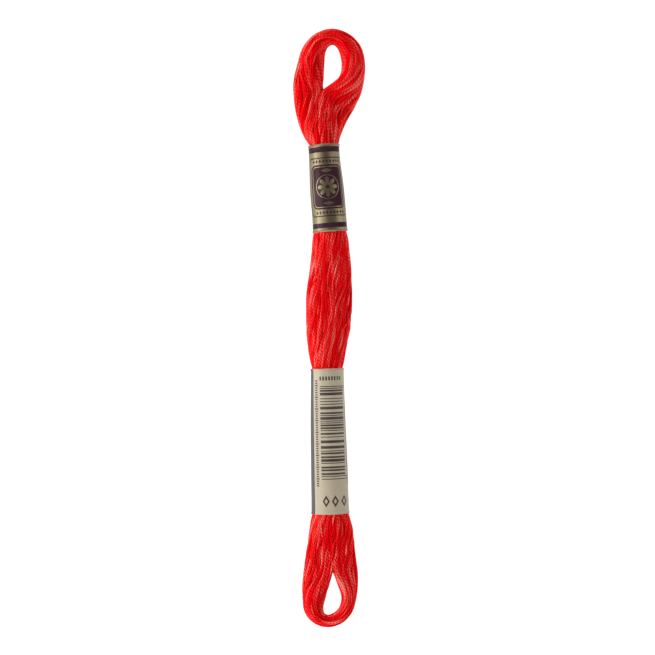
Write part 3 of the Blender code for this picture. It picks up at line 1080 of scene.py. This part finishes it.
def dot_rows(tree, u, v):
    """A row of small lozenges above the panel and one below it."""
    cell = math_node(tree, "FRACT", math_node(tree, "DIVIDE", u, DOT_PITCH))
    across = math_node(tree, "MULTIPLY", math_node(tree, "SUBTRACT", cell, 0.5), DOT_PITCH)
    reach = between(tree, u, PANEL_CENTRE[0] - DOT_ROW_REACH, PANEL_CENTRE[0] + DOT_ROW_REACH)
    rows = []
    for side in (-1, 1):
        up = math_node(tree, "SUBTRACT", v, PANEL_CENTRE[1] + side * DOT_ROW_OFFSET)
        dot = print_mask(tree, lozenge_depth(tree, across, up, (0.0, 0.0), DOT_HALF))
        rows.append(math_node(tree, "MULTIPLY", dot, reach))
    return rows


def foil_print(tree, u, v):
    """Dark print on the upper band: end stripes, a frame, rows of dots, and a panel with a gold rosette."""
    stripes = [between(tree, v, *stripe) for stripe in END_STRIPES]
    frame_depth = box_depth(tree, u, v, PANEL_CENTRE, FRAME_HALF, FRAME_CORNER)
    frame_line = line_along(tree, frame_depth, FRAME_LINE)
    return either(tree, frame_line, panel_print(tree, u, v), *stripes, *dot_rows(tree, u, v))


# The lower band's print. Each scale's place is low and high across it, then its start and end along it.
BAR_BLOCK = (-40.2, -15.35)
BAR_SIDES = (-2.2, 4.8)
BAR_COUNT = 30
BAR_WIDTHS, BAR_WIDTH_CHANCES = (1, 1, 2, 3), (0.3, 0.3, 0.25, 0.15)
LONG_BARS = 2
LONG_BAR_REACH = 0.7
SCALE_COLUMNS = ((-3.85, -2.8, -42.16, -13.64), (5.5, 6.3, -41.54, -19.84))
SCALE_ROW = (-13.85, -12.8, -2.4, 4.0)
COLUMN_PITCH, ROW_PITCH = 0.62, 0.8
LONG_TICK_EVERY = 5
LOZENGE_ROW_Y = -46.0
LOZENGE_HALF = (0.98, 1.6)
LOZENGE_PLACES = (-1.06, 1.43, 4.1)
LOZENGE_LINE = 0.42
LOWER_START = -4.7
EDGE_RULE = 0.3


def bar_block(tree, u, v, rng):
    """Bars and gaps of random widths, the first and last of them reaching farther round."""
    low, high = BAR_BLOCK
    widths = rng.choice(BAR_WIDTHS, BAR_COUNT * 2 - 1, p=BAR_WIDTH_CHANCES)
    edges = high - np.concatenate([[0], np.cumsum(widths)]) / widths.sum() * (high - low)
    bars = [between(tree, v, edges[2 * k + 1], edges[2 * k]) for k in range(BAR_COUNT)]
    at_ends = [*bars[:LONG_BARS], *bars[-LONG_BARS:]]
    all_bars = math_node(tree, "MULTIPLY", either(tree, *bars), between(tree, u, *BAR_SIDES))
    reach = between(tree, u, BAR_SIDES[0], BAR_SIDES[1] + LONG_BAR_REACH)
    return all_bars, math_node(tree, "MULTIPLY", either(tree, *at_ends), reach)


def cream_print(tree, u, v, rng):
    """Brown print on the lower band: a block of bars, scales of ticks and a row of lozenges."""
    marks = [*bar_block(tree, u, v, rng), tick_scale(tree, v, u, SCALE_ROW, ROW_PITCH, 1)]
    for column in SCALE_COLUMNS:
        marks.append(tick_scale(tree, u, v, column, COLUMN_PITCH, LONG_TICK_EVERY))
    for place in LOZENGE_PLACES:
        depth = lozenge_depth(tree, u, v, (place, LOZENGE_ROW_Y), LOZENGE_HALF)
        depth = math_node(tree, "SUBTRACT", depth, LOZENGE_LINE / 2)
        marks.append(line_along(tree, depth, LOZENGE_LINE))
    edge_rule = between(tree, u, LOWER_START - EDGE_RULE, LOWER_START + EDGE_RULE)
    return either(tree, edge_rule, *marks)


CLOUD_SCALE, CLOUD_DETAIL, FINE_DETAIL = 260.0, 2.0, 3.0


def paper_grain_group():
    """Cloudy and fine unevenness of paper, as a value round 0.5 and a normal."""
    group = bpy.data.node_groups.new("paper grain", "ShaderNodeTree")
    for name, direction, kind in (
        ("Fineness", "INPUT", "NodeSocketFloat"),
        ("Relief", "INPUT", "NodeSocketFloat"),
        ("Value", "OUTPUT", "NodeSocketFloat"),
        ("Normal", "OUTPUT", "NodeSocketVector"),
    ):
        group.interface.new_socket(name, in_out=direction, socket_type=kind)
    given = group.nodes.new("NodeGroupInput").outputs
    place = add_node(group, "ShaderNodeTexCoord").outputs["Object"]
    cloudy = noise(group, place, CLOUD_SCALE, CLOUD_DETAIL)
    fine = noise(group, place, given["Fineness"], FINE_DETAIL)
    value = math_node(group, "MULTIPLY_ADD", cloudy, 0.5, math_node(group, "MULTIPLY", fine, 0.5))
    normal = bumped(group, value, given["Relief"])
    add_node(group, "NodeGroupOutput", {"Value": value, "Normal": normal})
    return group


def place_grain(tree, fineness, relief):
    """The paper grain in a material, as its value and its normal."""
    grain = add_node(tree, "ShaderNodeGroup")
    grain.node_tree = bpy.data.node_groups.get("paper grain") or paper_grain_group()
    give_inputs(tree, grain, {"Fineness": fineness, "Relief": relief})
    return grain.outputs["Value"], grain.outputs["Normal"]


# A paper's grain is its fineness and its relief, and its shades are the brightness at the grain's two ends.
FOIL_GRAIN, GOLD_SHADES = (2400.0, 0.012 * MM), (0.7, 1.0)
GOLD_RATE, GOLD_START = 0.5, 0.75
FOIL_METALLIC, FOIL_SPECULAR = 0.9, 0.03
FOIL_ROUGHNESS, FOIL_GRAIN_ROUGHNESS, FOIL_INK_SMOOTHING = 0.38, 0.08, 0.34
FOIL_COAT, FOIL_COAT_ROUGHNESS = 0.25, 0.3


def foil_material(bands):
    """Gold foil on paper, printed in shiny aubergine."""
    material, tree, shader = new_material("gold paper")
    ink = foil_print(tree, *uv_coordinates(tree))
    grain, normal = place_grain(tree, *FOIL_GRAIN)
    light = math_node(tree, "MULTIPLY_ADD", grain, GOLD_RATE, GOLD_START, clamp=True)
    gold = mix_colours(tree, light, *(rgba(bands.gold, shade) for shade in GOLD_SHADES))
    rough = math_node(tree, "MULTIPLY_ADD", grain, FOIL_GRAIN_ROUGHNESS, FOIL_ROUGHNESS)
    inputs = {
        "Base Color": mix_colours(tree, ink, gold, rgba(bands.print_dark)),
        "Metallic": math_node(tree, "MULTIPLY_ADD", ink, -FOIL_METALLIC, FOIL_METALLIC),
        "Roughness": math_node(tree, "MULTIPLY_ADD", ink, -FOIL_INK_SMOOTHING, rough),
        "Coat Weight": math_node(tree, "MULTIPLY_ADD", ink, -FOIL_COAT, FOIL_COAT),
        "Normal": normal,
        "Coat Roughness": FOIL_COAT_ROUGHNESS,
        "Specular IOR Level": FOIL_SPECULAR,
    }
    give_inputs(tree, shader, inputs)
    return material


SLATE_FROM = 8.2
CREAM_GRAIN, CREAM_SHADES, SLATE_SHADES = (3200.0, 0.010 * MM), (0.9, 1.08), (0.8, 1.25)
CREAM_ROUGHNESS, CREAM_GRAIN_ROUGHNESS, CREAM_SPECULAR = 0.45, 0.2, 0.4
INK_STRENGTH, INK_GRAIN = 0.87, 0.2


def cream_material(bands):
    """Cream paper with brown print on its face, and slate where it goes round the back."""
    material, tree, shader = new_material("cream paper")
    u, v = uv_coordinates(tree)
    ink = cream_print(tree, u, v, np.random.default_rng(SEED + 5))
    grain, normal = place_grain(tree, *CREAM_GRAIN)
    cream = mix_colours(tree, grain, *(rgba(bands.cream, shade) for shade in CREAM_SHADES))
    slate = mix_colours(tree, grain, *(rgba(bands.slate, shade) for shade in SLATE_SHADES))
    back = print_mask(tree, math_node(tree, "SUBTRACT", u, SLATE_FROM))
    paper = mix_colours(tree, back, cream, slate)
    strength = math_node(tree, "MULTIPLY_ADD", grain, INK_GRAIN, INK_STRENGTH)
    strength = math_node(tree, "MULTIPLY", ink, strength, clamp=True)
    inputs = {
        "Base Color": mix_colours(tree, strength, paper, rgba(bands.ink)),
        "Roughness": math_node(tree, "MULTIPLY_ADD", grain, CREAM_GRAIN_ROUGHNESS, CREAM_ROUGHNESS),
        "Normal": normal,
        "Specular IOR Level": CREAM_SPECULAR,
    }
    give_inputs(tree, shader, inputs)
    return material


BARE_GRAIN, BARE_ROUGHNESS = (3200.0, 0.02 * MM), 0.8
BARE_SHADES = ((0.72, 0.68, 0.60, 1.0), (0.86, 0.83, 0.77, 1.0))


def bare_paper_material():
    """The bands' unprinted inner side and cut edges."""
    material, tree, shader = new_material("bare paper")
    grain, normal = place_grain(tree, *BARE_GRAIN)
    colour = mix_colours(tree, grain, *BARE_SHADES)
    give_inputs(tree, shader, {"Base Color": colour, "Normal": normal, "Roughness": BARE_ROUGHNESS})
    return material


# The bands' paper

OUTLINE_STEPS = 90
LAYER_GAP = 0.03
OVERLAP_RAMP = 2.5
END_CURL, END_CURL_LENGTH = 0.12, 0.9
EDGE_LIFT, EDGE_LIFT_LENGTH = 0.06, 1.4
PAPER_WAVE, PAPER_WAVE_LEAN = 0.045, 0.08
PAPER_WAVE_LENGTHS = (2.6, 3.7, 5.9, 8.3)
UPPER_START = -9.5
UPPER_GRID, LOWER_GRID = (150, 30), (150, 50)


def sleeve_outlines(heights, inset):
    """The hank's outline at each height, this far inside it, from the top seam down the right side."""
    outlines = []
    for row in middle_rows_at(heights):
        half_height = (row.thickness + UNDERSIDE_FLAT) / 2
        sides = []
        for outer_x, first, last in ((row.right_x, 0.5, 1.5), (row.left_x, 1.5, 0.5)):
            angle = np.linspace(first, last, OUTLINE_STEPS, endpoint=False) * math.pi
            half_width = outer_x - row.seam_x
            normal = np.stack([-np.cos(angle) / half_width, np.sin(angle) / half_height], axis=1)
            normal /= np.linalg.norm(normal, axis=1)[:, None]
            across = row.seam_x - half_width * np.cos(angle) - inset * normal[:, 0]
            up = row.thickness - half_height + half_height * np.sin(angle) - inset * normal[:, 1]
            sides.append(np.stack([across, np.maximum(up, inset)], axis=1))
        outlines.append(np.concatenate(sides))
    return np.array(outlines)


def arc_lengths(outline):
    """Length round a closed outline at each of its points, and at its first point again."""
    steps = np.linalg.norm(np.roll(outline, -1, 0) - outline, axis=1)
    return np.concatenate([[0.0], np.cumsum(steps)])


def paper_waves(u, v, rng):
    """Slight flutes where the paper is pulled over the turns beneath it."""
    wave = np.zeros_like(u)
    for length in PAPER_WAVE_LENGTHS:
        lean = rng.uniform(-PAPER_WAVE_LEAN, PAPER_WAVE_LEAN)
        wave += np.sin(2 * math.pi * (u / length + lean * v) + rng.uniform(0, 2 * math.pi))
    return wave / len(PAPER_WAVE_LENGTHS)


def point_on(outline, places, at):
    """Point of a closed outline at this length round it, where places are its points' own lengths."""
    closed = np.vstack([outline, outline[:1]])
    return [np.interp(at, places, closed[:, axis]) for axis in range(2)]


def wrap_band(name, ends, start, tilt, bands, seed, grid_size):
    """A strip of paper wrapped once round the hank, its end tucked under its start."""
    low, high = ends
    columns, rows = grid_size
    rng = np.random.default_rng(seed)
    paper, overlap = bands.paper / MM, bands.overlap / MM
    sheet = bmesh.new()
    bmesh.ops.create_grid(sheet, x_segments=columns, y_segments=rows, size=1.0)
    grid = np.array([vert.co[:2] for vert in sheet.verts])
    heights, row_of = np.unique(np.round((grid[:, 1] + 1) / 2, 6), return_inverse=True)
    heights = low + heights * (high - low)
    outer, inner = sleeve_outlines(heights, 0.0), sleeve_outlines(heights, 1.0)
    round_length = np.array([arc_lengths(outline)[-1] for outline in outer])
    share = (grid[:, 0] + 1) / 2
    u = start + share * (round_length[row_of] + overlap)
    v = heights[row_of]
    tucked = smoothstep((u - start - round_length[row_of] + OVERLAP_RAMP) / OVERLAP_RAMP)
    inset = tucked * (paper + LAYER_GAP) + PAPER_WAVE * (1 + paper_waves(u, v, rng))
    from_end = np.minimum(v - low, high - v)
    inset -= END_CURL * (1 - smoothstep(from_end / END_CURL_LENGTH)) * (1 - tucked)
    inset -= EDGE_LIFT * (1 - smoothstep((u - start) / EDGE_LIFT_LENGTH))
    layer = sheet.loops.layers.uv.new("UVMap")
    for k, vert in enumerate(sheet.verts):
        row = row_of[k]
        places = arc_lengths(outer[row])
        at = u[k] % places[-1]
        on_outer, on_inner = point_on(outer[row], places, at), point_on(inner[row], places, at)
        x = on_outer[0] + (on_inner[0] - on_outer[0]) * inset[k]
        z = on_outer[1] + (on_inner[1] - on_outer[1]) * inset[k]
        y = v[k] + x * math.tan(tilt)
        vert.co = (x * MM, y * MM, max(z, 0.0) * MM)
        for loop in vert.link_loops:
            loop[layer].uv = (u[k], v[k])
    bmesh.ops.recalc_face_normals(sheet, faces=sheet.faces)
    mesh = bpy.data.meshes.new(name)
    sheet.to_mesh(mesh)
    sheet.free()
    mesh.shade_smooth()
    return mesh


# The pieces and the stage


PIECES_OF_HANK = 5


class SKEIN_OT_wind_floss(bpy.types.Operator):
    """Winds the hank: every turn of six strands, packed in the hank's sections"""

    bl_idname = "skein.wind_floss"
    bl_label = "Wind the Floss"
    bl_options = {"REGISTER", "UNDO"}

    def execute(self, context):
        floss = context.scene.skein_floss
        paper_room = 2 * context.scene.skein_bands.paper / MM + PAPER_SLACK
        stations, strands = wind_hank(floss, paper_room)
        strands = refine(stations, strands)
        material = floss_material(floss)
        rng = np.random.default_rng(SEED + 1)
        tones = rng.uniform(0.0, 1.0, strands.shape[1])
        share = strands.shape[1] // PIECES_OF_HANK
        for k in range(PIECES_OF_HANK):
            some = slice(k * share, (k + 1) * share)
            name = f"floss_turns_{k + 1}"
            mesh = strand_tubes(name, strands[:, some], tones[some])
            add_piece(name, mesh, material, "floss", "floss_hank")
        return {"FINISHED"}


def finish_band(name, mesh, material, slot, bands):
    """Puts a wrapped sheet in the scene and gives it its paper's thickness, bare on the inside."""
    mesh.materials.append(material)
    mesh.materials.append(bare_paper_material())
    band = add_piece(name, mesh, material, slot, name.removesuffix("_paper"))
    wall = band.modifiers.new("paper", "SOLIDIFY")
    wall.thickness = bands.paper
    wall.offset = -1.0
    wall.material_offset = 1
    wall.material_offset_rim = 1


class SKEIN_OT_wrap_upper_band(bpy.types.Operator):
    """Wraps the printed gold band round the upper part of the hank"""

    bl_idname = "skein.wrap_upper_band"
    bl_label = "Wrap the Upper Band"
    bl_options = {"REGISTER", "UNDO"}

    def execute(self, context):
        bands = context.scene.skein_bands
        name = "upper_band_paper"
        mesh = wrap_band(
            name, UPPER_BAND_ENDS, UPPER_START, UPPER_BAND_TILT, bands, SEED + 3, UPPER_GRID
        )
        finish_band(name, mesh, foil_material(bands), "gold_paper", bands)
        return {"FINISHED"}


class SKEIN_OT_wrap_lower_band(bpy.types.Operator):
    """Wraps the printed cream band round the lower part of the hank"""

    bl_idname = "skein.wrap_lower_band"
    bl_label = "Wrap the Lower Band"
    bl_options = {"REGISTER", "UNDO"}

    def execute(self, context):
        bands = context.scene.skein_bands
        name = "lower_band_paper"
        mesh = wrap_band(
            name, LOWER_BAND_ENDS, LOWER_START, LOWER_BAND_TILT, bands, SEED + 4, LOWER_GRID
        )
        finish_band(name, mesh, cream_material(bands), "cream_paper", bands)
        return {"FINISHED"}


def add_soft_box(name, place, size, power):
    """A long light that looks at the skein's middle."""
    light = bpy.data.lights.new(name, "AREA")
    light.shape = "RECTANGLE"
    light.size, light.size_y = size
    light.energy = power
    lamp = bpy.data.objects.new(name, light)
    lamp.location = place
    lamp.rotation_euler = (-Vector(place)).to_track_quat("-Z", "Y").to_euler()
    bpy.context.scene.collection.objects.link(lamp)


# Each soft box's name, place and size in metres, and its share of the side light's power.
SOFT_BOXES = (
    ("left_softbox", (-0.62, 0.02, 0.18), (0.05, 0.9), 1.0),
    ("right_softbox", (0.62, 0.0, 0.03), (0.05, 0.9), 1.2),
    ("near_softbox", (0.0, -0.62, 0.18), (0.6, 0.05), 0.5),
)

# Glow of the studio's walls by height, from the horizon at 0 to overhead at 1, and its share on the right.
TENT_GLOW = ((0.0, 3.1), (0.5, 3.0), (0.82, 0.888), (1.0, 0.0497))
RIGHT_SHARE = 0.07

FLOOR_GLOW, FLOOR_ROUGHNESS, FLOOR_SPECULAR = 1.0, 0.9, 0.1
FLOOR_REACH, FLOOR_DROP = 3.0, 0.01 * MM
SENSOR_WIDTH = 36.0
CAMERA_X, CAMERA_Y = -0.4 * MM, 0.15 * MM

# Height of the skein at which the camera sees its frame width.
SEEN_HEIGHT = 4.0 * MM


def studio_world():
    """A white tent: bright low down, dimmer on the right, and dark overhead where the camera looks in."""
    world = bpy.data.worlds.new("studio")
    world.use_nodes = True
    tree = world.node_tree
    direction = add_node(tree, "ShaderNodeTexCoord").outputs["Generated"]
    split = add_node(tree, "ShaderNodeSeparateXYZ", {0: direction})
    across, height = split.outputs[0], split.outputs[2]
    ramp = add_node(tree, "ShaderNodeValToRGB", {0: height})
    stops = ramp.color_ramp.elements
    for position, glow in TENT_GLOW[1:-1]:
        stops.new(position)
    for stop, (position, glow) in zip(stops, TENT_GLOW):
        stop.position = position
        stop.color = rgba((1.0, 1.0, 1.0), glow)
    side = math_node(tree, "MULTIPLY_ADD", across, (RIGHT_SHARE - 1) / 2, (RIGHT_SHARE + 1) / 2)
    glow = math_node(tree, "MULTIPLY", ramp.outputs[0], side)
    tree.links.new(glow, tree.nodes["Background"].inputs[0])
    return world


def add_camera(stage):
    camera = bpy.data.cameras.new("camera")
    camera.sensor_width = SENSOR_WIDTH
    camera.lens = SENSOR_WIDTH * (stage.camera_height - SEEN_HEIGHT) / stage.frame_width
    holder = bpy.data.objects.new("camera", camera)
    holder.location = (CAMERA_X, CAMERA_Y, stage.camera_height)
    bpy.context.scene.collection.objects.link(holder)
    bpy.context.scene.camera = holder


def lay_floor(stage):
    """A plain pale floor just under the skein, lit from within so that it stays even."""
    mesh = bpy.data.meshes.new("floor")
    flat = bmesh.new()
    bmesh.ops.create_grid(flat, x_segments=1, y_segments=1, size=FLOOR_REACH)
    bmesh.ops.translate(flat, verts=flat.verts, vec=(0, 0, -FLOOR_DROP))
    flat.to_mesh(mesh)
    flat.free()
    floor = bpy.data.objects.new("floor", mesh)
    bpy.context.scene.collection.objects.link(floor)
    material, tree, shader = new_material("floor")
    inputs = {
        "Base Color": rgba(stage.floor),
        "Roughness": FLOOR_ROUGHNESS,
        "Specular IOR Level": FLOOR_SPECULAR,
        "Emission Color": (1.0, 1.0, 1.0, 1.0),
        "Emission Strength": FLOOR_GLOW,
    }
    give_inputs(tree, shader, inputs)
    mesh.materials.append(material)


class SKEIN_OT_set_stage(bpy.types.Operator):
    """Adds the white floor, the soft side lights and the camera above the skein"""

    bl_idname = "skein.set_stage"
    bl_label = "Set the Stage"
    bl_options = {"REGISTER", "UNDO"}

    def execute(self, context):
        stage = context.scene.skein_stage
        lay_floor(stage)
        for name, place, size, share in SOFT_BOXES:
            add_soft_box(name, place, size, stage.side_light * share)
        context.scene.world = studio_world()
        context.scene.view_settings.view_transform = "Standard"
        add_camera(stage)
        return {"FINISHED"}


class VIEW3D_PT_skein(bpy.types.Panel):
    """Buttons and sizes of the skein"""

    bl_label = "Embroidery Floss Skein"
    bl_space_type = "VIEW_3D"
    bl_region_type = "UI"
    bl_category = "Skein"

    def draw(self, context):
        layout = self.layout
        for operator, group in LISTED:
            box = layout.box()
            box.operator(operator)
            settings = getattr(context.scene, group)
            for name in settings.__annotations__:
                box.prop(settings, name)


LISTED = (
    ("skein.wind_floss", "skein_floss"),
    ("skein.wrap_upper_band", "skein_bands"),
    ("skein.wrap_lower_band", "skein_bands"),
    ("skein.set_stage", "skein_stage"),
)
CLASSES = (
    FlossSettings,
    BandSettings,
    StageSettings,
    SKEIN_OT_wind_floss,
    SKEIN_OT_wrap_upper_band,
    SKEIN_OT_wrap_lower_band,
    SKEIN_OT_set_stage,
    VIEW3D_PT_skein,
)


def register():
    for made in CLASSES:
        bpy.utils.register_class(made)
    scene = bpy.types.Scene
    scene.skein_floss = bpy.props.PointerProperty(type=FlossSettings)
    scene.skein_bands = bpy.props.PointerProperty(type=BandSettings)
    scene.skein_stage = bpy.props.PointerProperty(type=StageSettings)


def unregister():
    for name in ("skein_floss", "skein_bands", "skein_stage"):
        delattr(bpy.types.Scene, name)
    for made in reversed(CLASSES):
        bpy.utils.unregister_class(made)


def main():
    register()
    bpy.ops.skein.wind_floss()
    bpy.ops.skein.wrap_upper_band()
    bpy.ops.skein.wrap_lower_band()
    bpy.ops.skein.set_stage()


if __name__ == "__main__":
    main()
